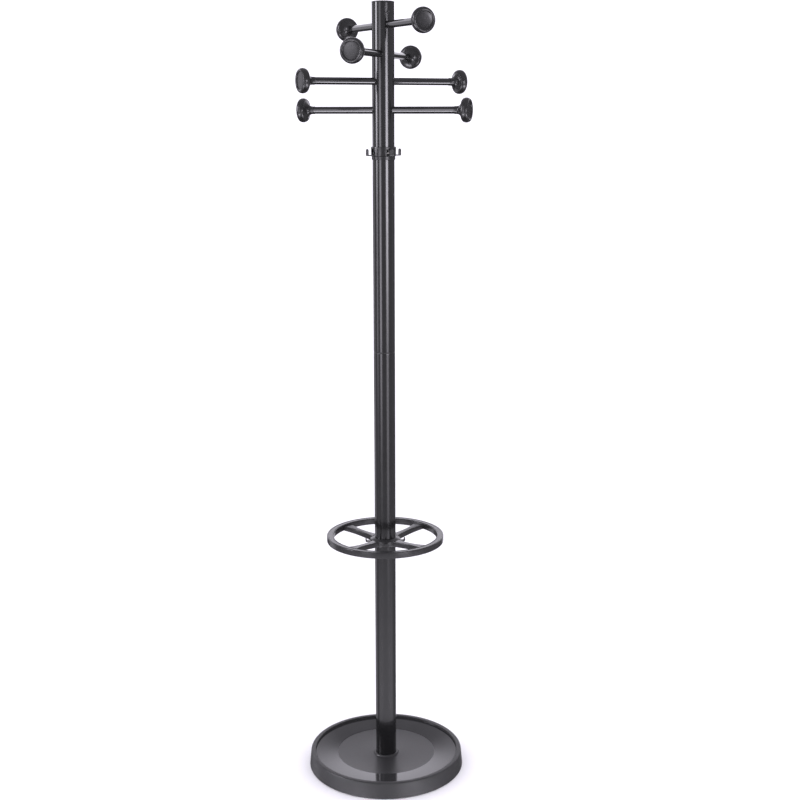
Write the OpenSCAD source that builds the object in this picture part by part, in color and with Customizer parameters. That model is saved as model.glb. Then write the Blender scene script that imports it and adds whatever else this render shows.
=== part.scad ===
// Standing coat rack: a weighted round base, a pole of four steel tubes, an umbrella ring on the lowest
// joint, and a swivelling head with four through rods that carry eight round pegs.
// Millimetres, +Z up, origin on the floor at the pole's axis. The front is -Y.

/* [Pole] */
// Height from the floor to the crown of the top cap
total_h = 1829; // [1700:1:1900]
// Outside diameter of the tubes
pole_d = 50; // [46:1:52]
// Wall thickness of the tubes
pole_wall = 1.5; // [1.2:0.1:2]
// Height of the lowest tube joint, inside the umbrella ring's hub
first_joint_z = 587; // [560:1:600]
// Distance from one tube joint to the next
section_l = 455; // [440:1:460]
// Bevel on each tube end that shows
tube_bevel = 1.2; // [0.4:0.1:1.4]

/* [Base] */
// Diameter of the base on the floor
base_d = 380; // [360:5:420]
// Height of the base's rim
base_h = 39.5; // [38:0.5:44]
// How far the outer wall leans in over its height
base_lean = 4; // [2:0.5:6]
// Radius of the drip tray, inside the rim
tray_r = 175; // [168:1:176]
// Radius of the tray's textured middle
tray_disc_r = 120; // [100:1:130]
// Number of rubber pads under the base
pad_count = 6; // [4:1:8]

/* [Pegs] */
// Heights of the four rods, from the top down
rod_z = [1776.5, 1714.5, 1655.5, 1592.5];
// Direction of the top rod's first end, and the step to the next rod down, in degrees
rod_turn = [-67.5, -45];
// Distance from the pole's axis to the middle of a knob's rim
knob_reach = 194.5; // [170:0.5:200]
// Diameter of the rods
rod_d = 16; // [14:1:16]
// Wall thickness of the rods
rod_wall = 1.2; // [1:0.1:2]
// Diameter of a knob over its rim
knob_d = 54.4; // [50:0.1:56]
// Length of a knob behind the middle of its rim
knob_neck_l = 28; // [26:1:34]

/* [Umbrella ring] */
// Outside diameter of the ring
ring_d = 280; // [260:5:300]
// Width of the ring's section
ring_w = 15.5; // [14:0.5:18]
// Height of the ring's section
ring_h = 15; // [13:0.5:18]
// Width of a spoke at its narrowest
spoke_w = 14; // [12:1:16]

/* [Small hooks] */
// Reach of the head collar's hooks from the pole's axis
hook_reach = 42; // [40:0.5:46]
// Reach of the umbrella ring's hooks from the pole's axis
ring_hook_reach = 47.7; // [46:0.1:52]
// Width of a hook
hook_w = 10; // [8:0.5:12]

/* [Hidden] */
$fn = 96;

// Clearances: running fits of the turning pieces, gaps between turning faces, and pressed pieces
run_gap = 0.07;
face_gap = 0.3;
press_gap = 0.05;

// Pole
pole_r = pole_d / 2;
bore_r = pole_r - pole_wall;
plug_r = bore_r - press_gap;
mid_joint_z = first_joint_z + section_l;
head_joint_z = mid_joint_z + section_l;
cap_crown = 2;
cap_flange_t = 2;
head_tube_top = total_h - cap_crown - cap_flange_t;

// Threaded joint between two tubes
stud_r = 5;
thread_gap = 0.05;
socket_l = 32;
stud_l = 54;
seam_t = 1.4;
seam_r = pole_r - 0.9;
bearing_flange_r = pole_r + 1.2;
bearing_flange_t = 1.5;

// Head bearing: a shoulder bolt that the head plug turns on
washer_t = 2;
shoulder_r = 6;
head_plug_l = 30;
head_tube_z = head_joint_z + washer_t + face_gap;
bolt_head_r = 9;
bolt_head_h = 6.5;

// Base
base_r = base_d / 2;
pad_t = 3;
pad_r = 9;
pad_circle_r = 166;
plate_t = 2;
wall_t = 3;
ballast_top = 24;
bolt_recess_r = 24;
bolt_recess_top = 14;
tray_t = 2.5;
tray_rim_z = base_h - 6;
tray_disc_z = 29.4;
tray_foot_z = 26.6;
foot_lip_r = 30.5;
foot_lip_z = 29.8;

// Knob, measured along its rod from the middle of the rim, outwards positive
knob_r = knob_d / 2;
knob_edge_back = 9;
knob_edge_front = 8;
knob_edge_w = 5;
knob_flare_power = 3.8;
knob_dish_r = 18.6;
knob_dish_mid_t = 4.6;
knob_neck_r = rod_d / 2 + 0.6;
knob_bore_end = -4;
rod_r = rod_d / 2;

// Umbrella ring: the spokes drop from the rim to the hub
ring_r = ring_d / 2;
ring_top = first_joint_z + 9;
ring_bottom = ring_top - ring_h;
ring_inner_r = ring_r - ring_w;
hub_r = 36;
hub_top = first_joint_z - 1;
hub_bottom = first_joint_z - 13.5;
hub_crown = first_joint_z + 2.5;
spoke_waist_r = 78;
spoke_waist_top = first_joint_z + 1;
spoke_waist_bottom = first_joint_z - 11;
spoke_rim_top = ring_top - 4.5;
spoke_rim_flare = 7.5;
spoke_hub_flare = 3.5;
bush_r = 28.2;
ring_hook_z = first_joint_z - 9.2;
ring_hook_h = 9;

// Collar that carries the small hooks
collar_r = 28.1;
collar_skirt_r = 26.8;
collar_h = 29;
collar_bottom = head_joint_z - 14;
collar_skirt_h = 8.5;
collar_hook_h = 16;
collar_window_h = 14;
hook_arm_t = 2.5;
hook_nose_t = 2.8;

// Screw that holds the top cap
cap_screw_z = total_h - 26;
cap_plug_l = 30;
cap_plug_wall = 3;

// Places its children a distance up, turned to a direction about the pole
module around(turn, z) {
    translate([0, 0, z]) rotate([0, 0, turn]) children();
}

// Lays its children, drawn along +Z, along a horizontal direction
module outwards(turn, z) {
    around(turn, z) rotate([0, 90, 0]) children();
}

function arc(cx, cy, rx, ry, from, to, steps = 8) =
    [for (i = [0 : steps]) let (a = from + (to - from) * i / steps) [cx + rx * cos(a), cy + ry * sin(a)]];

// Tube with a bevel on its outer edge at either end
module tube(z0, z1, bevel0, bevel1) {
    rotate_extrude()
        polygon([[bore_r, z0], [pole_r - bevel0, z0], [pole_r, z0 + bevel0], [pole_r, z1 - bevel1],
            [pole_r - bevel1, z1], [bore_r, z1]]);
}

// Threaded plug pressed into a tube, with a flange where flange_t is more than 0
module threaded_plug(z0, z1, flange_r, flange_t) {
    rotate_extrude()
        polygon(concat([[stud_r + thread_gap, z0], [plug_r - 1, z0], [plug_r, z0 + 1]],
            flange_t > 0
                ? [[plug_r, z1], [flange_r, z1], [flange_r, z1 + flange_t], [stud_r + thread_gap, z1 + flange_t]]
                : [[plug_r, z1 - 1], [plug_r - 1, z1], [stud_r + thread_gap, z1]]));
}

module threaded_stud(z_middle) {
    translate([0, 0, z_middle - stud_l / 2]) cylinder(r = stud_r, h = stud_l);
}

// Base -----------------------------------------------------------------------------------------------

module floor_pads() {
    color("dimgray")
        for (i = [0 : pad_count - 1])
            around(360 / pad_count * i, 0)
                translate([pad_circle_r, 0, 0]) cylinder(r = pad_r, h = pad_t);
}

module bottom_plate() {
    color("gray")
        translate([0, 0, pad_t])
            difference() {
                cylinder(r = base_r - wall_t - 1.2, h = plate_t);
                translate([0, 0, -1]) cylinder(r = 18, h = plate_t + 2);
            }
}

module ballast_disc() {
    color("darkgray")
        rotate_extrude()
            polygon([[stud_r + 0.5, bolt_recess_top], [bolt_recess_r, bolt_recess_top],
                [bolt_recess_r, pad_t + plate_t], [base_r - wall_t - 5, pad_t + plate_t],
                [base_r - wall_t - 7, ballast_top], [stud_r + 0.5, ballast_top]]);
}

// Outer wall, rounded rim and the ledge that the tray drops onto
module base_cover() {
    rim_r = base_r - base_lean;
    color("dimgray")
        rotate_extrude()
            polygon(concat([[base_r - wall_t, 1.5], [base_r - 0.8, 1.5], [base_r, 2.3]],
                [[rim_r + 0.4, base_h - 5]],
                arc(rim_r - 3.6, base_h - 4, 4, 4, 0, 90, 6),
                [[tray_r + 1.2, base_h]],
                [[tray_r + 0.1, base_h - 1.2], [tray_r + 0.1, tray_rim_z - tray_t],
                [tray_r - 6, tray_rim_z - tray_t - 1.2], [tray_r - 6, tray_rim_z - 2 * tray_t - 1.2],
                [rim_r - wall_t, tray_rim_z - 2 * tray_t - 0.6]]));
}

// Dished insert: glossy sloping band, textured middle and a low lip round the pole's foot
module drip_tray() {
    color("gray")
        rotate_extrude()
            polygon([[tray_r, tray_rim_z - tray_t], [tray_r, tray_rim_z - 0.5], [tray_r - 0.8, tray_rim_z],
                [tray_r - 3, tray_rim_z], [tray_disc_r, tray_disc_z], [foot_lip_r + 1.4, tray_foot_z],
                [foot_lip_r, foot_lip_z - 0.6], [foot_lip_r - 0.8, foot_lip_z],
                [pole_r + 0.15, foot_lip_z], [pole_r + 0.15, tray_foot_z - tray_t + 0.4],
                [tray_disc_r, tray_disc_z - tray_t], [tray_r - 3, tray_rim_z - tray_t]]);
}

module base_bolt() {
    color("silver") {
        translate([0, 0, bolt_recess_top - 2 - bolt_head_h]) cylinder(r = bolt_head_r, h = bolt_head_h, $fn = 6);
        translate([0, 0, bolt_recess_top - 2]) cylinder(r = stud_r, h = 40);
    }
}

module base_washer() {
    color("silver")
        translate([0, 0, bolt_recess_top - 2])
            difference() {
                cylinder(r = bolt_recess_r - 2, h = 2);
                translate([0, 0, -1]) cylinder(r = stud_r + 0.3, h = 4);
            }
}

// Pole -----------------------------------------------------------------------------------------------

module foot_plug() {
    color("#202022") threaded_plug(ballast_top + 0.5, ballast_top + 34, 0, 0);
}

module lower_tube() {
    color("#1d1d1f") tube(ballast_top + 0.1, first_joint_z - bearing_flange_t, 0.4, tube_bevel);
}

module ring_joint_socket() {
    color("#202022")
        threaded_plug(first_joint_z - bearing_flange_t - socket_l, first_joint_z - bearing_flange_t,
            bearing_flange_r, bearing_flange_t);
}

module ring_joint_stud() {
    color("silver") threaded_stud(first_joint_z);
}

module ring_joint_plug() {
    color("#202022") threaded_plug(first_joint_z, first_joint_z + socket_l, 0, 0);
}

module lower_mid_tube() {
    color("#1d1d1f") tube(first_joint_z, mid_joint_z - seam_t, tube_bevel, tube_bevel);
}

module mid_joint_socket() {
    color("#202022")
        threaded_plug(mid_joint_z - seam_t - socket_l, mid_joint_z - seam_t, seam_r, seam_t);
}

module mid_joint_stud() {
    color("silver") threaded_stud(mid_joint_z);
}

module mid_joint_plug() {
    color("#202022") threaded_plug(mid_joint_z, mid_joint_z + socket_l, 0, 0);
}

module upper_mid_tube() {
    color("#1d1d1f") tube(mid_joint_z, head_joint_z - bearing_flange_t, tube_bevel, tube_bevel);
}

// Head bearing ---------------------------------------------------------------------------------------

module head_joint_socket() {
    color("#202022")
        threaded_plug(head_joint_z - bearing_flange_t - socket_l, head_joint_z - bearing_flange_t,
            bearing_flange_r, bearing_flange_t);
}

module thrust_washer() {
    color("ivory")
        translate([0, 0, head_joint_z])
            difference() {
                cylinder(r = pole_r - 0.6, h = washer_t);
                translate([0, 0, -1]) cylinder(r = shoulder_r + 0.5, h = washer_t + 2);
            }
}

module swivel_bolt() {
    shoulder_top = head_tube_z + head_plug_l + face_gap;
    color("silver") {
        translate([0, 0, head_joint_z - 25]) cylinder(r = stud_r, h = 25);
        translate([0, 0, head_joint_z]) cylinder(r = shoulder_r, h = shoulder_top - head_joint_z);
        translate([0, 0, shoulder_top]) cylinder(r = bolt_head_r + 1, h = bolt_head_h, $fn = 6);
    }
}

module head_plug() {
    color("ivory")
        translate([0, 0, head_tube_z])
            difference() {
                cylinder(r = plug_r, h = head_plug_l);
                translate([0, 0, -1]) cylinder(r = shoulder_r + run_gap, h = head_plug_l + 2);
            }
}

// Head -----------------------------------------------------------------------------------------------

module head_tube() {
    color("#1d1d1f")
        difference() {
            tube(head_tube_z, head_tube_top, tube_bevel, 0.4);
            for (i = [0 : len(rod_z) - 1])
                outwards(rod_turn[0] + rod_turn[1] * i, rod_z[i])
                    translate([0, 0, -pole_r - 5]) cylinder(r = rod_r + press_gap, h = pole_d + 10);
            outwards(rod_turn[0], cap_screw_z) cylinder(r = 2.1, h = pole_r + 5);
        }
}

// Round tube across the head tube, held by friction in its two holes
module peg_rod(i) {
    half_l = knob_reach + knob_bore_end;
    color("#1d1d1f")
        outwards(rod_turn[0] + rod_turn[1] * i, rod_z[i])
            translate([0, 0, -half_l])
                difference() {
                    cylinder(r = rod_r, h = 2 * half_l);
                    translate([0, 0, -1]) cylinder(r = rod_r - rod_wall, h = 2 * half_l + 2);
                }
}

// Trumpet knob with a rounded rim and a shallow dish in its face, pressed onto a rod's end
module knob(i, end) {
    edge_r = knob_r - knob_edge_w;
    neck = [for (k = [0 : 17]) let (s = k / 18)
        [knob_neck_r + (edge_r - knob_neck_r) * pow(s, knob_flare_power),
        -knob_neck_l + (knob_neck_l - knob_edge_back) * s]];
    color("#232325")
        outwards(rod_turn[0] + rod_turn[1] * i + end, rod_z[i])
            translate([0, 0, knob_reach])
                rotate_extrude()
                    polygon(concat([[rod_r + press_gap, -knob_neck_l]], neck,
                        arc(edge_r, 0, knob_edge_w, knob_edge_back, -90, 0, 7),
                        arc(edge_r, 0, knob_edge_w, knob_edge_front, 15, 90, 5),
                        arc(edge_r, knob_edge_front - 2.6, edge_r - knob_dish_r, 2.6, 105, 180, 5),
                        [[knob_dish_r * 0.6, knob_dish_mid_t + 0.3], [0, knob_dish_mid_t],
                        [0, knob_bore_end], [rod_r + press_gap, knob_bore_end]]));
}

module top_cap() {
    color("#232325")
        difference() {
            rotate_extrude()
                polygon(concat([[0, head_tube_top - 2], [plug_r - cap_plug_wall, head_tube_top - 2],
                    [plug_r - cap_plug_wall, head_tube_top - cap_plug_l], [plug_r, head_tube_top - cap_plug_l],
                    [plug_r, head_tube_top], [pole_r + 0.5, head_tube_top]],
                    arc(pole_r - 1, head_tube_top + cap_flange_t - 0.8, 1.5, 1.5, 0, 60, 4),
                    [for (k = [1 : 6]) let (r = (pole_r - 2) * (1 - k / 6))
                        [r, total_h - (cap_crown - 0.8) * pow(r / pole_r, 2)]]));
            outwards(rod_turn[0], cap_screw_z) cylinder(r = 2.05, h = pole_r + 5);
        }
}

module cap_screw() {
    color("#1d1d1f")
        outwards(rod_turn[0], cap_screw_z) {
            translate([0, 0, pole_r - 6]) cylinder(r = 2, h = 6.2);
            translate([0, 0, pole_r + 0.05])
                rotate_extrude()
                    polygon([[0, 0], [3.8, 0], [3.6, 0.8], [2.6, 1.5], [1.2, 1.7], [0, 1.7]]);
        }
}

// Small hooks ----------------------------------------------------------------------------------------

// Upturned hook: its arm leaves the collar at z = 0 and its nose, a tongue with a round top, stands at reach
module small_hook(root_r, reach, height) {
    nose_back = reach - hook_nose_t;
    bend_r = 1.6;
    intersection() {
        rotate([90, 0, 0])
            translate([0, 0, -hook_w / 2])
                linear_extrude(hook_w)
                    polygon(concat([[root_r, 0]], arc(reach - 2.5, 2.5, 2.5, 2.5, -90, 0, 5),
                        arc(reach - 1, height - 1, 1, 1, 0, 90, 3), [[nose_back + 0.4, height - 0.6]],
                        arc(nose_back - bend_r, hook_arm_t + bend_r, bend_r, bend_r, 0, -90, 4),
                        [[root_r, hook_arm_t]]));
        rotate([90, 0, 90])
            translate([0, 0, root_r])
                linear_extrude(reach - root_r + 1)
                    polygon(concat([[-hook_w / 2, -1], [hook_w / 2, -1]],
                        arc(0, height - hook_w / 2, hook_w / 2, hook_w / 2, 0, 180, 12)));
    }
}

// Head collar, hiding the head joint; it runs round the bearing flange. A window behind each hook.
module hook_collar() {
    z0 = collar_bottom;
    z1 = collar_bottom + collar_h;
    hook_z = z0 + collar_skirt_h;
    inner = pole_r + run_gap;
    groove_r = bearing_flange_r + face_gap;
    color("#232325") {
        difference() {
            rotate_extrude()
                polygon([[inner, z0], [collar_skirt_r - 0.4, z0], [collar_skirt_r, z0 + 0.4],
                    [collar_skirt_r, hook_z - 1.3], [collar_r - 0.3, hook_z],
                    [collar_r, hook_z + 1], [collar_r + 0.3, z1 - 1], [collar_r - 0.5, z1], [inner, z1],
                    [inner, head_joint_z + face_gap], [groove_r, head_joint_z + face_gap],
                    [groove_r, head_joint_z - bearing_flange_t - face_gap],
                    [inner, head_joint_z - bearing_flange_t - face_gap]]);
            for (turn = [0 : 90 : 270])
                around(rod_turn[0] + turn, hook_z + hook_arm_t)
                    translate([pole_r - 1, -hook_w / 2, 0]) cube([6, hook_w, collar_window_h]);
        }
        for (turn = [0 : 90 : 270])
            around(rod_turn[0] + turn, hook_z) small_hook(collar_r - 1.5, hook_reach, collar_hook_h);
    }
}

// Umbrella ring --------------------------------------------------------------------------------------

// Bush pressed into the hub from below; it runs under the bearing flange
module hub_bush() {
    color("ivory")
        translate([0, 0, hub_bottom + face_gap])
            difference() {
                cylinder(r = bush_r - press_gap,
                    h = first_joint_z - bearing_flange_t - 2 * face_gap - hub_bottom);
                translate([0, 0, -1]) cylinder(r = pole_r + run_gap, h = 20);
            }
}

function spoke_half(r) =
    spoke_w / 2 + (r > spoke_waist_r
        ? spoke_rim_flare * pow((r - spoke_waist_r) / (ring_inner_r - spoke_waist_r), 2)
        : spoke_hub_flare * pow((spoke_waist_r - r) / (spoke_waist_r - hub_r), 2));

// Plan outline of a spoke, cut to a profile that drops from the rim to the hub
module spoke() {
    inner_r = 30;
    outer_r = ring_inner_r + 1.5;
    steps = 16;
    along = [for (k = [0 : steps]) inner_r + (outer_r - inner_r) * k / steps];
    intersection() {
        translate([0, 0, ring_bottom - 20])
            linear_extrude(60)
                polygon(concat([for (r = along) [r, -spoke_half(r)]],
                    [for (k = [steps : -1 : 0]) [along[k], spoke_half(along[k])]]));
        rotate_extrude()
            polygon([[inner_r, hub_bottom], [hub_r, hub_bottom], [spoke_waist_r, spoke_waist_bottom],
                [outer_r, ring_bottom], [outer_r, spoke_rim_top], [spoke_waist_r, spoke_waist_top],
                [hub_r, hub_top], [inner_r, hub_top]]);
    }
}

// Moulded ring with a hollow underside, four waisted spokes, four small hooks and a hub that turns on the pole
module umbrella_ring() {
    lip = 2.2;
    bore = pole_r + run_gap;
    color("#2e2e31")
        difference() {
            union() {
                rotate_extrude()
                    polygon(concat([[ring_inner_r, ring_bottom + 1], [ring_inner_r + 1, ring_bottom],
                        [ring_inner_r + lip, ring_bottom], [ring_inner_r + lip, ring_top - 4],
                        [ring_r - lip, ring_top - 4], [ring_r - lip, ring_bottom], [ring_r - 1, ring_bottom],
                        [ring_r, ring_bottom + 1]],
                        arc(ring_r - 2.5, ring_top - 2.5, 2.5, 2.5, 0, 90, 5),
                        arc(ring_inner_r + 2.5, ring_top - 2.5, 2.5, 2.5, 90, 180, 5)));
                for (turn = [45 : 90 : 315])
                    around(turn, 0) spoke();
                for (turn = [0 : 90 : 270])
                    around(turn, ring_hook_z) small_hook(hub_r - 2, ring_hook_reach, ring_hook_h);
                rotate_extrude()
                    polygon([[bore - 1, hub_bottom], [hub_r, hub_bottom], [hub_r, hub_top - 0.8],
                        [hub_r - 1, hub_top], [pole_r + 2.5, hub_crown], [bore - 1, hub_crown]]);
            }
            translate([0, 0, hub_bottom - 1])
                cylinder(r = bush_r, h = first_joint_z - bearing_flange_t - face_gap - hub_bottom + 1);
            translate([0, 0, hub_bottom])
                cylinder(r = bearing_flange_r + face_gap, h = first_joint_z + face_gap - hub_bottom);
            translate([0, 0, hub_bottom]) cylinder(r = bore, h = 30);
        }
}

floor_pads();
bottom_plate();
ballast_disc();
base_cover();
drip_tray();
base_bolt();
base_washer();
foot_plug();
lower_tube();
ring_joint_socket();
ring_joint_stud();
ring_joint_plug();
hub_bush();
umbrella_ring();
lower_mid_tube();
mid_joint_socket();
mid_joint_stud();
mid_joint_plug();
upper_mid_tube();
head_joint_socket();
thrust_washer();
swivel_bolt();
head_plug();
hook_collar();
head_tube();
peg_rod(0);  // peg_rod_1
peg_rod(1);  // peg_rod_2
peg_rod(2);  // peg_rod_3
peg_rod(3);  // peg_rod_4
knob(0, 0);  // knob_1a
knob(0, 180);  // knob_1b
knob(1, 0);  // knob_2a
knob(1, 180);  // knob_2b
knob(2, 0);  // knob_3a
knob(2, 180);  // knob_3b
knob(3, 0);  // knob_4a
knob(3, 180);  // knob_4b
top_cap();
cap_screw();
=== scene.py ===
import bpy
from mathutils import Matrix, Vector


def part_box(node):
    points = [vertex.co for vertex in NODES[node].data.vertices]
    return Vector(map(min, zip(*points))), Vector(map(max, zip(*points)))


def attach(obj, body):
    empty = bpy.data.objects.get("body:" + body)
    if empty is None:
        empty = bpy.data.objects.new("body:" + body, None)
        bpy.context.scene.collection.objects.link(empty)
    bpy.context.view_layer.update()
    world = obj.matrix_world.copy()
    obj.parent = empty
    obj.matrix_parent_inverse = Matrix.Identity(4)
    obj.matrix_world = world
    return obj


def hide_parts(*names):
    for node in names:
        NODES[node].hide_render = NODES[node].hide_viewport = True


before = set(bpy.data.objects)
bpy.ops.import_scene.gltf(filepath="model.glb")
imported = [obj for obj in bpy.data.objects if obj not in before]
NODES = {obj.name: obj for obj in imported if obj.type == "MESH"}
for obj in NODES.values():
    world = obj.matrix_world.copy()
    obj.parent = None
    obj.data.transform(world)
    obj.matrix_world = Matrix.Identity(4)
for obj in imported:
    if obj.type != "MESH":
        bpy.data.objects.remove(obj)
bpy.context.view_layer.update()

import math

import bmesh
import bpy
from mathutils import Matrix, Vector

MM = 0.001

CREASE = 35  # degrees between faces past which an edge is sharp
TUBE_WALL = 1.5 * MM
TUBE_BEVEL = 1.1 * MM
KNOB_FRONT = 8 * MM  # from the middle of a knob's rim to its face
ROD_END_DEPTH = 12 * MM  # from a knob's face in to the rod's end
NECK_WALL = 0.6 * MM  # of a knob's neck, round the rod
# The collar's and the hub's bores are drawn straight: the CAD's recesses in them for the bush and the
# joints' flanges are hidden and aren't cut here.
COLLAR_BORE = 25.07 * MM
HUB_BORE = 25.1 * MM
HOOK_HALF_W = 5 * MM
HOOK_ARM = 2.5 * MM  # thickness of a hook's arm
FACE_OUT = Matrix(((0, 0, 1, 0), (1, 0, 0, 0), (0, 1, 0, 0), (0, 0, 0, 1)))  # (across, up) outlines face +X


# ---------------------------------------------------------------- places taken from the frame


def span(node):
    """Lowest z, highest z and outer radius of a node that is round about the pole."""
    low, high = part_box(node)
    return low[2], high[2], max(high[0], high[1])


def along_rod(node):
    """Direction, height, and nearest and furthest reach of a knob or screw that points away from the pole."""
    points = [v.co for v in NODES[node].data.vertices]
    middle = sum(points, Vector()) / len(points)
    out = Vector((middle.x, middle.y, 0)).normalized()
    low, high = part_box(node)
    reach = [p.dot(out) for p in points]
    return out, (low[2] + high[2]) / 2, min(reach), max(reach)


# ---------------------------------------------------------------- mesh helpers


def rounded(points, steps=5):
    """Outline through (x, y, corner radius) points, with each corner rounded to its radius."""
    out = []
    count = len(points)
    for i, (x, y, radius) in enumerate(points):
        corner = Vector((x, y))
        if radius <= 0:
            out.append(corner)
            continue
        before = Vector(points[i - 1][:2]) - corner
        after = Vector(points[(i + 1) % count][:2]) - corner
        half = before.angle(after) / 2
        cut = min(radius / math.tan(half), before.length * 0.49, after.length * 0.49)
        start = corner + before.normalized() * cut
        end = corner + after.normalized() * cut
        for k in range(steps + 1):
            t = k / steps
            out.append(start * (1 - t) ** 2 + corner * 2 * t * (1 - t) + end * t * t)
    return out


def arc(cx, cy, rx, ry, start, end, steps=10):
    """Points (x, y, 0) on an ellipse between two angles in degrees."""
    angles = [math.radians(start + (end - start) * k / steps) for k in range(steps + 1)]
    return [(cx + rx * math.cos(a), cy + ry * math.sin(a), 0) for a in angles]


def finish_mesh(name, mesh_data, material):
    """Turns a bmesh into a smooth-shaded piece with sharp edges past the crease angle."""
    bmesh.ops.recalc_face_normals(mesh_data, faces=mesh_data.faces)
    mesh = bpy.data.meshes.new(name)
    mesh_data.to_mesh(mesh)
    mesh_data.free()
    mesh.shade_smooth()
    mesh.set_sharp_from_angle(angle=math.radians(CREASE))
    mesh.materials.append(material)
    piece = bpy.data.objects.new(name, mesh)
    bpy.context.scene.collection.objects.link(piece)
    return piece


def add_lathe(mesh_data, outline, segments, place):
    """Turns a closed (radius, height) outline about the local Z axis and places it."""
    rings = []
    for radius, height in outline:
        if radius < 1e-6:
            rings.append([mesh_data.verts.new(place @ Vector((0, 0, height)))])
            continue
        angles = [2 * math.pi * k / segments for k in range(segments)]
        rings.append([
            mesh_data.verts.new(place @ Vector((radius * math.cos(a), radius * math.sin(a), height)))
            for a in angles
        ])
    for i, ring in enumerate(rings):
        other = rings[(i + 1) % len(rings)]
        if len(ring) == 1 and len(other) == 1:
            continue
        for k in range(segments):
            n = (k + 1) % segments
            if len(ring) == 1:
                corners = [ring[0], other[n], other[k]]
            elif len(other) == 1:
                corners = [ring[k], ring[n], other[0]]
            else:
                corners = [ring[k], ring[n], other[n], other[k]]
            mesh_data.faces.new(corners)


def lathe(name, outline, material, segments=128, place=Matrix.Identity(4)):
    mesh_data = bmesh.new()
    add_lathe(mesh_data, outline, segments, place)
    return finish_mesh(name, mesh_data, material)


def merge(mesh_data, part, place):
    """Adds a bmesh, moved to its place, to another one."""
    bmesh.ops.transform(part, matrix=place, verts=part.verts)
    shell = bpy.data.meshes.new("part")
    part.to_mesh(shell)
    part.free()
    mesh_data.from_mesh(shell)
    bpy.data.meshes.remove(shell)


def add_prism(mesh_data, outline, low, high, place):
    """Extrudes an outline from low to high along the local Z axis."""
    part = bmesh.new()
    bottom = [part.verts.new((p[0], p[1], low)) for p in outline]
    top = [part.verts.new((p[0], p[1], high)) for p in outline]
    count = len(outline)
    part.faces.new(list(reversed(bottom)))
    part.faces.new(top)
    for i in range(count):
        n = (i + 1) % count
        part.faces.new([bottom[i], bottom[n], top[n], top[i]])
    merge(mesh_data, part, place)


def turn(degrees):
    return Matrix.Rotation(math.radians(degrees), 4, "Z")


def place_outwards(out, height, reach):
    """Local +Z along the horizontal direction out, starting at reach from the pole's axis."""
    side = Vector((0, 0, 1)).cross(out)
    axes = Matrix((side, Vector((0, 0, 1)), out)).transposed().to_4x4()
    return Matrix.Translation(out * reach + Vector((0, 0, height))) @ axes


def stand_in(piece, body, slot, *nodes):
    """Rides the piece on a body and lets it stand for CAD nodes."""
    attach(piece, body)
    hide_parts(*nodes)


# ---------------------------------------------------------------- materials


def new_material(name, color, roughness, **sockets):
    """Principled material; uniform values go straight onto the shader's sockets."""
    material = bpy.data.materials.new(name)
    material.use_nodes = True
    shader = material.node_tree.nodes["Principled BSDF"]
    shader.inputs["Base Color"].default_value = (*color, 1)
    shader.inputs["Roughness"].default_value = roughness
    for socket, value in sockets.items():
        shader.inputs[socket.replace("_", " ")].default_value = value
    return material


def shader_node(material, kind, **values):
    made = material.node_tree.nodes.new(kind)
    for key, value in values.items():
        made.inputs[key].default_value = value
    return made


def wire(material, source, output, target, socket):
    material.node_tree.links.new(source.outputs[output], target.inputs[socket])


def noise(material, size, detail=3.0):
    """Noise with a feature size in metres, in the object's own space."""
    coordinates = shader_node(material, "ShaderNodeTexCoord")
    texture = shader_node(material, "ShaderNodeTexNoise", Scale=1 / size, Detail=detail, Roughness=0.55)
    wire(material, coordinates, "Object", texture, "Vector")
    return texture


def vary_color(material, texture, dark, light):
    ramp = shader_node(material, "ShaderNodeValToRGB")
    ramp.color_ramp.elements[0].position = 0.35
    ramp.color_ramp.elements[1].position = 0.65
    ramp.color_ramp.elements[0].color = (*dark, 1)
    ramp.color_ramp.elements[1].color = (*light, 1)
    wire(material, texture, "Fac", ramp, "Fac")
    wire(material, ramp, "Color", material.node_tree.nodes["Principled BSDF"], "Base Color")


def vary_roughness(material, texture, low, high):
    levels = shader_node(material, "ShaderNodeMapRange")
    levels.inputs["From Min"].default_value = 0.3
    levels.inputs["From Max"].default_value = 0.7
    levels.inputs["To Min"].default_value = low
    levels.inputs["To Max"].default_value = high
    wire(material, texture, "Fac", levels, "Value")
    wire(material, levels, "Result", material.node_tree.nodes["Principled BSDF"], "Roughness")


def bump(material, textures):
    """Stacks bumps: each is (texture, height in metres, strength)."""
    previous = None
    for texture, height, strength in textures:
        relief = shader_node(material, "ShaderNodeBump", Distance=height, Strength=strength)
        wire(material, texture, "Fac", relief, "Height")
        if previous:
            wire(material, previous, "Normal", relief, "Normal")
        previous = relief
    wire(material, previous, "Normal", material.node_tree.nodes["Principled BSDF"], "Normal")


def grey(level, tint=0.03):
    """A near-neutral grey, a little towards blue."""
    return (level, level, level * (1 + tint))


def gloss_paint():
    """Gloss black paint on the tubes: nearly smooth, with a faint long orange peel."""
    material = new_material("gloss_black_paint", grey(0.011), 0.16, Coat_Weight=0.2, Coat_Roughness=0.05)
    vary_color(material, noise(material, 0.06), grey(0.01), grey(0.012))
    vary_roughness(material, noise(material, 0.02), 0.13, 0.19)
    bump(material, [(noise(material, 0.03, 1), 0.00002, 0.1)])
    return material


def satin_paint():
    """Black paint on the rods and screw, a little duller than the tubes."""
    material = new_material("satin_black_paint", grey(0.006), 0.1, Specular_IOR_Level=0.9)
    vary_color(material, noise(material, 0.03), grey(0.005), grey(0.008))
    vary_roughness(material, noise(material, 0.008), 0.08, 0.13)
    bump(material, [(noise(material, 0.012, 1), 0.00002, 0.15)])
    return material


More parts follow.
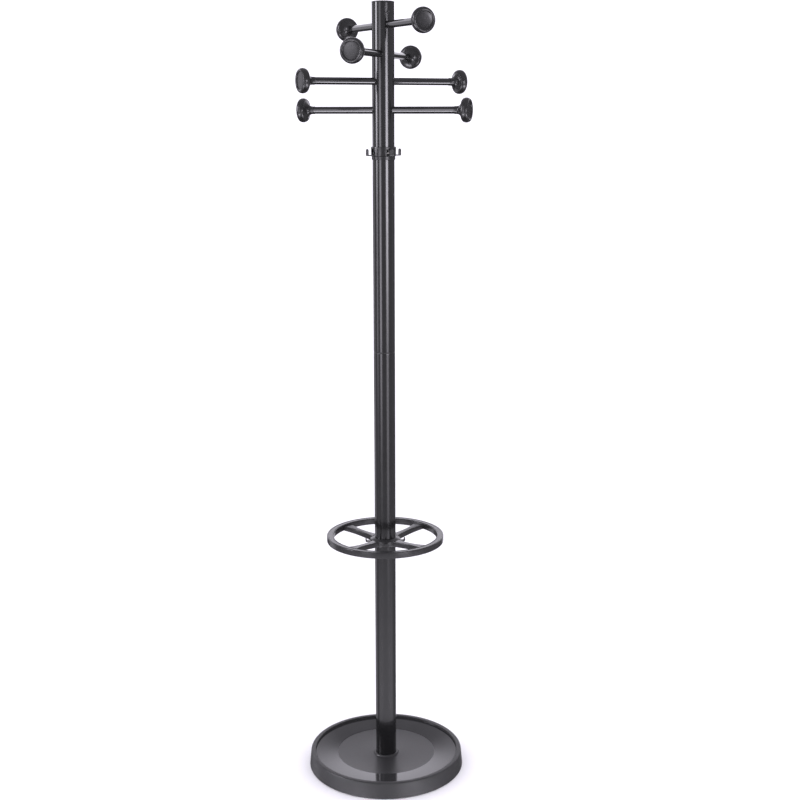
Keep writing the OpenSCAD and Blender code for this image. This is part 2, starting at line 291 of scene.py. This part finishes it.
def knob_plastic():
    """Moulded black plastic with a soft satin sheen and fine grain."""
    material = new_material("satin_black_plastic", grey(0.015), 0.25, Specular_IOR_Level=0.5)
    vary_color(material, noise(material, 0.02), grey(0.014), grey(0.017))
    vary_roughness(material, noise(material, 0.005), 0.22, 0.28)
    bump(material, [(noise(material, 0.0006, 2), 0.000004, 0.2), (noise(material, 0.012, 1), 0.00002, 0.1)])
    return material


def ring_plastic():
    """Dark grey moulded plastic of the umbrella ring."""
    material = new_material("dark_grey_plastic", grey(0.02), 0.24)
    vary_color(material, noise(material, 0.03), grey(0.018), grey(0.023))
    vary_roughness(material, noise(material, 0.006), 0.21, 0.27)
    bump(material, [(noise(material, 0.0006, 2), 0.00001, 0.25), (noise(material, 0.012, 1), 0.00006, 0.12)])
    return material


def base_plastic():
    """Charcoal moulded plastic of the base's wall and rim, with a fine spark-eroded grain."""
    material = new_material("charcoal_plastic", grey(0.027), 0.4)
    vary_color(material, noise(material, 0.05), grey(0.025), grey(0.03))
    vary_roughness(material, noise(material, 0.008), 0.38, 0.48)
    bump(material, [(noise(material, 0.0007, 2), 0.00003, 0.4), (noise(material, 0.02, 1), 0.00008, 0.1)])
    return material


def tray_gloss():
    """Polished band of the drip tray."""
    material = new_material("charcoal_plastic_polished", grey(0.024), 0.06)
    vary_color(material, noise(material, 0.05), grey(0.022), grey(0.026))
    vary_roughness(material, noise(material, 0.015), 0.05, 0.1)
    bump(material, [(noise(material, 0.03, 1), 0.00004, 0.05)])
    return material


def tray_texture():
    """Grained middle of the drip tray."""
    material = new_material("charcoal_plastic_grained", grey(0.026), 0.42)
    vary_color(material, noise(material, 0.0012), grey(0.023), grey(0.03))
    vary_roughness(material, noise(material, 0.002), 0.3, 0.43)
    bump(material, [(noise(material, 0.0014, 2), 0.00008, 0.5), (noise(material, 0.02, 1), 0.00008, 0.1)])
    return material


def rubber():
    material = new_material("black_rubber", grey(0.03, 0), 0.75)
    vary_color(material, noise(material, 0.003), grey(0.025, 0), grey(0.04, 0))
    vary_roughness(material, noise(material, 0.002), 0.68, 0.85)
    bump(material, [(noise(material, 0.0008, 2), 0.00008, 0.5)])
    return material


def zinc_steel():
    material = new_material("zinc_plated_steel", (0.58, 0.59, 0.6), 0.32, Metallic=1.0)
    vary_color(material, noise(material, 0.004), (0.5, 0.51, 0.53), (0.64, 0.65, 0.65))
    vary_roughness(material, noise(material, 0.002), 0.25, 0.42)
    bump(material, [(noise(material, 0.0012, 2), 0.00003, 0.4)])
    return material


def cast_concrete():
    material = new_material("cast_concrete", (0.42, 0.41, 0.39), 0.9)
    vary_color(material, noise(material, 0.01), (0.33, 0.32, 0.3), (0.5, 0.49, 0.46))
    vary_roughness(material, noise(material, 0.004), 0.82, 0.95)
    bump(material, [(noise(material, 0.003, 4), 0.0006, 0.7)])
    return material


def black_nylon():
    """Nylon of the plugs inside the tubes, faintly mottled by its glass filling."""
    material = new_material("black_nylon", grey(0.02, 0), 0.45)
    vary_color(material, noise(material, 0.004), grey(0.017, 0), grey(0.024, 0))
    vary_roughness(material, noise(material, 0.003), 0.4, 0.52)
    bump(material, [(noise(material, 0.0009, 2), 0.00002, 0.3)])
    return material


def acetal():
    material = new_material("ivory_acetal", (0.74, 0.72, 0.66), 0.38, Subsurface_Weight=0.1)
    vary_color(material, noise(material, 0.008), (0.7, 0.68, 0.62), (0.78, 0.76, 0.7))
    vary_roughness(material, noise(material, 0.003), 0.33, 0.45)
    bump(material, [(noise(material, 0.001, 2), 0.00002, 0.3)])
    return material


PAINT = gloss_paint()
ROD_PAINT = satin_paint()
KNOB = knob_plastic()
RING = ring_plastic()
BASE = base_plastic()
TRAY_GLOSS = tray_gloss()
TRAY_GRAIN = tray_texture()
RUBBER = rubber()
STEEL = zinc_steel()
CONCRETE = cast_concrete()
ACETAL = acetal()
NYLON = black_nylon()


# ---------------------------------------------------------------- base


def make_base():
    floor_z, rim_z, base_r = span("base_cover")
    _, tray_rim, tray_r = span("drip_tray")
    wall = 3 * MM
    rim_r = base_r - 4 * MM
    outline = rounded([
        (base_r - wall, floor_z, 0.4 * MM), (base_r, floor_z, 0.8 * MM), (rim_r, rim_z, 3.8 * MM),
        (tray_r + 0.3 * MM, rim_z, 1.3 * MM), (tray_r + 0.3 * MM, tray_rim - 2.6 * MM, 0),
        (tray_r - 6 * MM, tray_rim - 3.8 * MM, 0), (tray_r - 6 * MM, tray_rim - 6.2 * MM, 0.4 * MM),
        (rim_r - wall, tray_rim - 5.6 * MM, 1.5 * MM),
    ], steps=7)
    cover = lathe("base_shell", outline, BASE, segments=256)
    stand_in(cover, "stand", "base_plastic", "base_cover")


def make_tray():
    low, rim, tray_r = span("drip_tray")
    pole_r = span("lower_tube")[2]
    disc_r = 120 * MM
    disc_z = rim - 4.1 * MM
    foot_z = low + 2.1 * MM
    lip_z = foot_z + 3.2 * MM
    outline = rounded([
        (tray_r, rim - 2.5 * MM, 0), (tray_r, rim, 0.7 * MM), (tray_r - 2.6 * MM, rim, 1.2 * MM),
        (disc_r, disc_z, 0.5 * MM), (disc_r - 0.4 * MM, disc_z - 0.5 * MM, 0.2 * MM),
        (31.8 * MM, foot_z, 1.2 * MM), (30.4 * MM, lip_z, 1 * MM), (pole_r + 0.2 * MM, lip_z, 0.8 * MM),
        (pole_r + 0.2 * MM, low, 0), (disc_r, disc_z - 2.9 * MM, 0), (tray_r - 3 * MM, rim - 2.6 * MM, 0),
    ], steps=5)
    tray = lathe("tray", outline, TRAY_GLOSS, segments=256)
    tray.data.materials.append(TRAY_GRAIN)
    for face in tray.data.polygons:
        if face.center.xy.length < disc_r:
            face.material_index = 1
    stand_in(tray, "stand", "tray_plastic", "drip_tray")


def make_pads():
    pad_r = 9 * MM
    _, high, reach = span("floor_pads")
    circle_r = reach - pad_r
    mesh_data = bmesh.new()
    outline = rounded([(0, 0, 0), (pad_r, 0, 1 * MM), (pad_r - 0.4 * MM, high, 0.3 * MM), (0, high, 0)])
    for k in range(6):
        add_lathe(mesh_data, outline, 40, turn(60 * k) @ Matrix.Translation((circle_r, 0, 0)))
    stand_in(finish_mesh("pads", mesh_data, RUBBER), "stand", "rubber_pad", "floor_pads")


# ---------------------------------------------------------------- pole


def tube_outline(low, high, outer, low_bevel, high_bevel):
    """Wall section of a tube; the points inside each end keep the long face's shading straight."""
    inner = outer - TUBE_WALL
    inset = 3 * MM
    return rounded([
        (inner, low, 0.3 * MM), (outer, low, low_bevel), (outer, low + inset, 0), (outer, high - inset, 0),
        (outer, high, high_bevel), (inner, high, 0.3 * MM),
    ], steps=6)


def make_tubes():
    """The four tubes; the head tube has no rod holes here, because the rods fill them."""
    hidden_bevel = 0.3 * MM
    ends = {
        "lower_tube": (hidden_bevel, TUBE_BEVEL), "lower_mid_tube": (TUBE_BEVEL, TUBE_BEVEL),
        "upper_mid_tube": (TUBE_BEVEL, TUBE_BEVEL),
    }
    for name, (low_bevel, high_bevel) in ends.items():
        low, high, outer = span(name)
        tube = lathe(name + "_painted", tube_outline(low, high, outer, low_bevel, high_bevel), PAINT)
        stand_in(tube, "stand", "tube_paint", name)
    low, high, outer = span("head_tube")
    tube = lathe("head_tube_painted", tube_outline(low, high, outer, TUBE_BEVEL, hidden_bevel), PAINT)
    stand_in(tube, "head", "tube_paint", "head_tube")


def make_rods():
    for k in range(1, 5):
        out, height, _, far = along_rod(f"knob_{k}a")
        tip = far - ROD_END_DEPTH
        radius = (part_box(f"peg_rod_{k}")[1][2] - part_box(f"peg_rod_{k}")[0][2]) / 2
        inset = tip - 4 * MM
        outline = rounded([
            (0, -tip, 0), (radius, -tip, 1 * MM), (radius, -inset, 0),
            (radius, inset, 0), (radius, tip, 1 * MM), (0, tip, 0),
        ])
        rod = lathe(f"rod_{k}_painted", outline, ROD_PAINT, 64, place_outwards(out, height, 0))
        stand_in(rod, "head", "rod_paint", f"peg_rod_{k}")


def knob_outline(length, radius, rod_r):
    """Trumpet from the rod to a rounded rim, with a shallow dish in its face; zero is the rim's middle."""
    front = KNOB_FRONT
    back = front - length
    edge = 5 * MM
    edge_back = 9 * MM
    edge_r = radius - edge
    neck_r = rod_r + NECK_WALL
    bore_r = rod_r + 0.05 * MM
    bore_end = -4 * MM
    dish_r = 18.6 * MM
    dish_drop = 2.6 * MM
    flare_power = 3.8
    steps = 30
    flare = []
    for k in range(steps):
        s = k / steps
        flare.append((neck_r + (edge_r - neck_r) * s ** flare_power, back - (edge_back + back) * s, 0))
    points = [(0, bore_end, 0), (bore_r, bore_end, 0), (bore_r, back, 0)] + flare
    points += arc(edge_r, 0, edge, edge_back, -90, 0, 14) + arc(edge_r, 0, edge, front, 8, 90)
    points += arc(edge_r, front - dish_drop, edge_r - dish_r, dish_drop, 100, 180)
    points += [(dish_r * 0.93, 5.1 * MM, 0), (dish_r * 0.6, 4.85 * MM, 0), (dish_r * 0.3, 4.67 * MM, 0)]
    points += [(0, 4.6 * MM, 0)]
    return [Vector(p[:2]) for p in points]


def make_knobs():
    rod_r = (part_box("peg_rod_1")[1][2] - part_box("peg_rod_1")[0][2]) / 2
    for k in range(1, 5):
        for end in "ab":
            name = f"knob_{k}{end}"
            out, height, near, far = along_rod(name)
            radius = (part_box(name)[1][2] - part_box(name)[0][2]) / 2
            outline = knob_outline(far - near, radius, rod_r)
            knob = lathe(name + "_moulded", outline, KNOB, 96, place_outwards(out, height, far - KNOB_FRONT))
            stand_in(knob, "head", "knob_plastic", name)


def make_cap():
    low, high, outer = span("top_cap")
    tube_top = span("head_tube")[1]
    plug_r = 23.4 * MM
    plug_inner = plug_r - 3 * MM
    ceiling = tube_top - 2 * MM
    points = [(0, ceiling, 0), (plug_inner, ceiling, 0), (plug_inner, low, 0)]
    points += [(plug_r, low, 0.6 * MM), (plug_r, tube_top, 0), (outer, tube_top, 0.3 * MM)]
    points += arc(outer - 1.6 * MM, tube_top + 1.1 * MM, 1.6 * MM, 1.2 * MM, 5, 75, 8)
    dome_r = outer - 2 * MM
    dome_rise = 1.4 * MM
    steps = 11
    for k in range(1, steps + 1):
        radius = dome_r * (1 - k / steps)
        points.append((radius, high - dome_rise * (radius / dome_r) ** 2, 0))
    cap = lathe("cap", [Vector(p) for p in rounded(points)], KNOB)
    stand_in(cap, "head", "knob_plastic", "top_cap")


def make_cap_screw():
    out, height, near, far = along_rod("cap_screw")
    shank = 2 * MM
    head = 3.8 * MM
    seat = far - 1.7 * MM
    recess = far - 0.9 * MM
    outline = rounded([
        (0, near, 0), (shank, near, 0.3 * MM), (shank, seat, 0),
        (head, seat, 0.2 * MM), (head, seat + 0.7 * MM, 0.5 * MM), (2.4 * MM, far, 1 * MM),
        (1.5 * MM, far, 0.2 * MM), (1.2 * MM, recess, 0.1 * MM), (0, recess, 0),
    ])
    screw = lathe("cap_screw_head", outline, ROD_PAINT, 48, place_outwards(out, height, 0))
    stand_in(screw, "head", "screw_paint", "cap_screw")


# ---------------------------------------------------------------- small hooks


def cut(first, second, operation):
    """Boolean of two closed bmeshes; the result is a new bmesh and the inputs are freed."""
    pair = []
    for shape in (first, second):
        bmesh.ops.recalc_face_normals(shape, faces=shape.faces)
        mesh = bpy.data.meshes.new("operand")
        shape.to_mesh(mesh)
        shape.free()
        holder = bpy.data.objects.new("operand", mesh)
        bpy.context.scene.collection.objects.link(holder)
        pair.append(holder)
    modifier = pair[0].modifiers.new("boolean", "BOOLEAN")
    modifier.operation = operation
    modifier.solver = "EXACT"
    modifier.object = pair[1]
    depsgraph = bpy.context.evaluated_depsgraph_get()
    made = bmesh.new()
    made.from_mesh(pair[0].evaluated_get(depsgraph).to_mesh())
    for holder in pair:
        mesh = holder.data
        bpy.data.objects.remove(holder)
        bpy.data.meshes.remove(mesh)
    return made


def add_hook(mesh_data, degrees, foot_z, root_r, reach, height):
    """Upturned hook: a thin arm leaves the collar or hub at foot_z and ends in a tongue with a round top."""
    half_w = HOOK_HALF_W
    tongue_t = 2.8 * MM
    spare = 1 * MM
    back = reach - tongue_t
    side = rounded([
        (root_r, 0, 0), (reach, 0, tongue_t), (reach, height, 1.3 * MM),
        (back + 0.3 * MM, height, 1 * MM), (back, HOOK_ARM, 2 * MM), (root_r, HOOK_ARM, 0),
    ], steps=6)
    front = arc(0, height - half_w, half_w, half_w, 0, 180, 20)
    front += [(-half_w, -spare, 0), (half_w, -spare, 0)]
    profile = bmesh.new()
    stand_up = Matrix.Rotation(math.radians(90), 4, "X")
    add_prism(profile, side, -2 * half_w, 2 * half_w, stand_up)
    tongue = bmesh.new()
    add_prism(tongue, front, root_r - spare, reach + spare, FACE_OUT)
    hook = cut(profile, tongue, "INTERSECT")
    merge(mesh_data, hook, turn(degrees) @ Matrix.Translation((0, 0, foot_z)))


def make_hook_collar():
    low, high, _ = span("hook_collar")
    hook_z = low + 8.5 * MM
    skirt_r = 26.8 * MM
    wall_r = 28.4 * MM
    outline = rounded([
        (COLLAR_BORE, low, 0.2 * MM), (skirt_r, low, 0.6 * MM), (skirt_r, hook_z - 1.2 * MM, 0.4 * MM),
        (wall_r - 0.3 * MM, hook_z + 0.4 * MM, 0.6 * MM), (wall_r, high, 0.9 * MM),
        (COLLAR_BORE, high, 0.4 * MM),
    ])
    collar = bmesh.new()
    add_lathe(collar, outline, 128, Matrix.Identity(4))
    top_rod = along_rod("knob_1a")[0]
    first = math.degrees(math.atan2(top_rod.y, top_rod.x))
    sill = hook_z + HOOK_ARM
    lintel = sill + 14 * MM
    window = rounded([
        (-HOOK_HALF_W, sill, 0.3 * MM), (HOOK_HALF_W, sill, 0.3 * MM),
        (HOOK_HALF_W, lintel, 1.5 * MM), (-HOOK_HALF_W, lintel, 1.5 * MM),
    ])
    windows = bmesh.new()
    cut_from, cut_to = 24 * MM, 30 * MM
    for k in range(4):
        add_prism(windows, window, cut_from, cut_to, turn(first + 90 * k) @ FACE_OUT)
    collar = cut(collar, windows, "DIFFERENCE")
    for k in range(4):
        add_hook(collar, first + 90 * k, hook_z, root_r=26.6 * MM, reach=42 * MM, height=16 * MM)
    piece = finish_mesh("hook_collar_moulded", collar, KNOB)
    stand_in(piece, "head", "collar_plastic", "hook_collar")


# ---------------------------------------------------------------- umbrella ring

HUB_R = 36 * MM
WAIST_R = 78 * MM  # where a spoke is narrowest
WAIST_HALF = 7 * MM


def spoke_half(radius, rim_r):
    """Half the width of a spoke at a distance from the pole's axis: waisted in the middle."""
    if radius > WAIST_R:
        return WAIST_HALF + 7.5 * MM * ((radius - WAIST_R) / (rim_r - WAIST_R)) ** 2
    return WAIST_HALF + 3.5 * MM * ((WAIST_R - radius) / (WAIST_R - HUB_R)) ** 2


def eased(radius, at_hub, at_waist, at_rim, rim_r):
    """Height that goes from the hub's to the rim's on one smooth curve through the waist's."""
    t = max(0.0, (radius - HUB_R) / (rim_r - HUB_R))
    middle = (WAIST_R - HUB_R) / (rim_r - HUB_R)
    bend = (at_waist - at_hub - (at_rim - at_hub) * middle) / (middle * middle - middle)
    return at_hub + (at_rim - at_hub - bend) * t + bend * t * t


def add_spoke(mesh_data, degrees, rim_r, bottom, top):
    """Bar with rounded edges that drops from the rim to the hub; bottom and top give its heights."""
    start, end = 28 * MM, rim_r + 1.2 * MM
    steps = 40
    bevel = 1.8 * MM
    rings = []
    for i in range(steps + 1):
        radius = start + (end - start) * i / steps
        half = spoke_half(radius, rim_r)
        low, high = eased(radius, *bottom, rim_r), eased(radius, *top, rim_r)
        section = rounded([
            (-half, low, 0.8 * MM), (half, low, 0.8 * MM), (half, high, bevel), (-half, high, bevel),
        ])
        rings.append([mesh_data.verts.new(turn(degrees) @ Vector((radius, p.x, p.y))) for p in section])
    for ring, after in zip(rings, rings[1:]):
        count = len(ring)
        for k in range(count):
            n = (k + 1) % count
            mesh_data.faces.new([ring[k], ring[n], after[n], after[k]])
    mesh_data.faces.new(rings[0])
    mesh_data.faces.new(rings[-1])


def make_umbrella_ring():
    hub_low, high, outer = span("umbrella_ring")
    width = 15.5 * MM
    inner = outer - width
    low = high - 15 * MM
    lip = 2.2 * MM
    ceiling = high - 4 * MM
    groove = high - 0.8 * MM
    joint_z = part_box("lower_mid_tube")[0][2]
    hub_top = joint_z - 1 * MM
    mesh_data = bmesh.new()
    rim = rounded([
        (inner, low, 0.9 * MM), (inner + lip, low, 0.9 * MM), (inner + lip + 0.4 * MM, ceiling, 1 * MM),
        (outer - lip - 0.4 * MM, ceiling, 1 * MM), (outer - lip, low, 0.9 * MM), (outer, low, 0.9 * MM),
        (outer, high - 1 * MM, 2 * MM), (outer - 2.6 * MM, high, 1.4 * MM), (outer - 4 * MM, groove, 1 * MM),
        (inner + 4 * MM, groove, 1 * MM), (inner + 2.4 * MM, high, 1.4 * MM),
        (inner, high - 1 * MM, 1.8 * MM),
    ], steps=6)
    add_lathe(mesh_data, rim, 256, Matrix.Identity(4))
    top = (hub_top, joint_z + 1 * MM, high - 4.5 * MM)
    bottom = (hub_low, joint_z - 11 * MM, low)
    for k in range(4):
        add_spoke(mesh_data, 45 + 90 * k, inner, bottom, top)
    collar_top = joint_z + 2.5 * MM
    hub = rounded([
        (HUB_BORE, hub_low, 0.3 * MM), (HUB_R, hub_low, 1 * MM), (HUB_R, hub_top, 1 * MM),
        (27.5 * MM, collar_top, 0.8 * MM), (HUB_BORE, collar_top, 0.3 * MM),
    ])
    add_lathe(mesh_data, hub, 128, Matrix.Identity(4))
    hook_z = joint_z - 9.2 * MM
    for k in range(4):
        add_hook(mesh_data, 90 * k, hook_z, root_r=HUB_R - 2 * MM, reach=47.7 * MM, height=9 * MM)
    ring = finish_mesh("umbrella_ring_moulded", mesh_data, RING)
    stand_in(ring, "umbrella_holder", "ring_plastic", "umbrella_ring")


# ---------------------------------------------------------------- pieces kept from the frame


def dress_frame():
    """Better materials on the CAD nodes that stay."""
    kept = {
        "bottom_plate": BASE, "ballast_disc": CONCRETE, "base_bolt": STEEL, "base_washer": STEEL,
        "foot_plug": NYLON, "ring_joint_socket": NYLON, "ring_joint_stud": STEEL, "ring_joint_plug": NYLON,
        "mid_joint_socket": NYLON, "mid_joint_stud": STEEL, "mid_joint_plug": NYLON, "hub_bush": ACETAL,
        "head_joint_socket": NYLON, "thrust_washer": ACETAL, "swivel_bolt": STEEL, "head_plug": ACETAL,
    }
    for name, material in kept.items():
        mesh = NODES[name].data
        mesh.materials.clear()
        mesh.materials.append(material)


# ---------------------------------------------------------------- floor, light and camera


def make_floor():
    material = new_material("pale_floor", (0.94, 0.94, 0.94), 0.8, Specular_IOR_Level=0.1)
    vary_color(material, noise(material, 0.6), (0.93, 0.93, 0.93), (0.95, 0.95, 0.95))
    mesh = bpy.data.meshes.new("floor")
    size = 30
    corners = [(-size, -size, 0), (size, -size, 0), (size, size, 0), (-size, size, 0)]
    mesh.from_pydata(corners, [], [(0, 1, 2, 3)])
    mesh.materials.append(material)
    floor = bpy.data.objects.new("floor", mesh)
    floor.visible_glossy = False
    bpy.context.scene.collection.objects.link(floor)


class Studio:
    """World shader: even light for the object and floor, and soft panels and dark flags in reflections."""

    def __init__(self):
        world = bpy.data.worlds.new("studio")
        world.use_nodes = True
        bpy.context.scene.world = world
        self.tree = world.node_tree
        self.background = self.tree.nodes["Background"]
        self.background.inputs["Color"].default_value = (1.03, 1, 1.1, 1)
        coordinates = self.tree.nodes.new("ShaderNodeTexCoord")
        split = self.tree.nodes.new("ShaderNodeSeparateXYZ")
        self.tree.links.new(coordinates.outputs["Generated"], split.inputs[0])
        ahead = self.math("MULTIPLY", split.outputs["Y"], -1)
        self.azimuth = self.math("ARCTAN2", split.outputs["X"], ahead)
        self.height = split.outputs["Z"]

    def math(self, operation, first, second=0.0):
        made = self.tree.nodes.new("ShaderNodeMath")
        made.operation = operation
        for socket, value in zip(made.inputs, (first, second)):
            if isinstance(value, (int, float)):
                socket.default_value = value
            else:
                self.tree.links.new(value, socket)
        return made.outputs[0]

    def step(self, value, start, end, before, after):
        """Smooth step from before to after as value goes from start to end."""
        made = self.tree.nodes.new("ShaderNodeMapRange")
        made.interpolation_type = "SMOOTHSTEP"
        for name, number in (("From Min", start), ("From Max", end), ("To Min", before), ("To Max", after)):
            made.inputs[name].default_value = number
        self.tree.links.new(value, made.inputs["Value"])
        return made.outputs["Result"]

    def mix(self, factor, first, second):
        difference = self.math("SUBTRACT", second, first)
        return self.math("ADD", self.math("MULTIPLY", difference, factor), first)

    def strip(self, centre, half, low, high, level):
        """Upright panel: azimuth of its centre and half width in degrees, and two heights of direction."""
        soft = 5
        soft_foot = 0.06
        soft_top = 0.015
        away = self.math("ABSOLUTE", self.math("SUBTRACT", self.azimuth, math.radians(centre)))
        across = self.step(away, math.radians(half - soft), math.radians(half + soft), level, 0)
        foot = self.step(self.height, low - soft_foot, low + soft_foot, 0, 1)
        top = self.step(self.height, high - soft_top, high + soft_top, 1, 0)
        return self.math("MULTIPLY", self.math("MULTIPLY", across, foot), top)


# Upright panels seen in reflections: azimuth and half width in degrees from the front, lower and upper
# height of direction, and brightness.
PANELS = (
    (-79, 8, -0.03, 0.5, 9),
    (-79, 8, -0.2, 0.5, 2),
    (-38, 9, -0.25, 0.5, 1.6),
    (-39, 9, -0.2, 0.02, 3),
    (32, 11, -0.12, 0.05, 9),
    (31, 11, -0.3, 0.05, 2),
    (162, 9, -0.5, 0.02, 1.2),
    (-131, 12, -0.5, 0.12, 0.8),
)


def make_light():
    """Even light for the surfaces, and a dark room with panels that only reflections see."""
    studio = Studio()
    side = studio.math("ABSOLUTE", studio.azimuth)

    def by_side(start, end, before, after):
        return studio.step(side, math.radians(start), math.radians(end), before, after)

    room = by_side(85, 150, 0.45, 0.1)
    backdrop = by_side(100, 140, 0.35, 1.9)
    sky = studio.mix(studio.step(studio.height, 0.35, 0.55, 0, 1), backdrop, 0.4)
    above = studio.step(studio.height, 0.11, 0.2, 0, 1)
    gloss = studio.mix(above, room, sky)
    low_glow = studio.step(studio.height, -0.45, -0.26, 0.9, 0)
    lower_room = studio.math("MULTIPLY", low_glow, by_side(70, 95, 1, 0))
    gloss = studio.math("ADD", gloss, lower_room)
    panel_depth = 0.63
    from_panel = studio.math("ABSOLUTE", studio.math("ADD", studio.height, panel_depth))
    low_panel = studio.step(from_panel, 0.06, 0.11, 9, 0)
    low_panel = studio.math("MULTIPLY", low_panel, by_side(25, 35, 0, 1))
    low_panel = studio.math("MULTIPLY", low_panel, by_side(62, 78, 1, 0))
    gloss = studio.math("ADD", gloss, low_panel)
    for panel in PANELS:
        gloss = studio.math("ADD", gloss, studio.strip(*panel))
    under = studio.step(studio.height, -0.92, -0.78, 0, 1)
    gloss = studio.mix(under, 0.06, gloss)
    rays = studio.tree.nodes.new("ShaderNodeLightPath")
    even_light = 1.25
    level = studio.mix(rays.outputs["Is Glossy Ray"], even_light, gloss)
    studio.tree.links.new(level, studio.background.inputs["Strength"])


def make_camera():
    heading, tilt, roll = math.radians(3.77), math.radians(12.41), math.radians(0.11)
    camera = bpy.data.cameras.new("camera")
    camera.sensor_width = 36
    camera.lens = 59.44
    camera.clip_end = 100
    eye = bpy.data.objects.new("camera", camera)
    forward = Vector((
        math.sin(heading) * math.cos(tilt), math.cos(heading) * math.cos(tilt), -math.sin(tilt)))
    level = Vector((math.cos(heading), -math.sin(heading), 0))
    upright = level.cross(forward)
    right = level * math.cos(roll) - upright * math.sin(roll)
    up = right.cross(forward)
    axes = Matrix((right, up, -forward)).transposed().to_4x4()
    eye.matrix_world = Matrix.Translation((-0.1637, -3.0332, 1.5942)) @ axes
    bpy.context.scene.collection.objects.link(eye)
    bpy.context.scene.camera = eye


make_camera()
make_light()
make_floor()
make_base()
make_tray()
make_pads()
make_tubes()
make_rods()
make_knobs()
make_cap()
make_cap_screw()
make_hook_collar()
make_umbrella_ring()
dress_frame()
bpy.context.scene.view_settings.view_transform = "Standard"
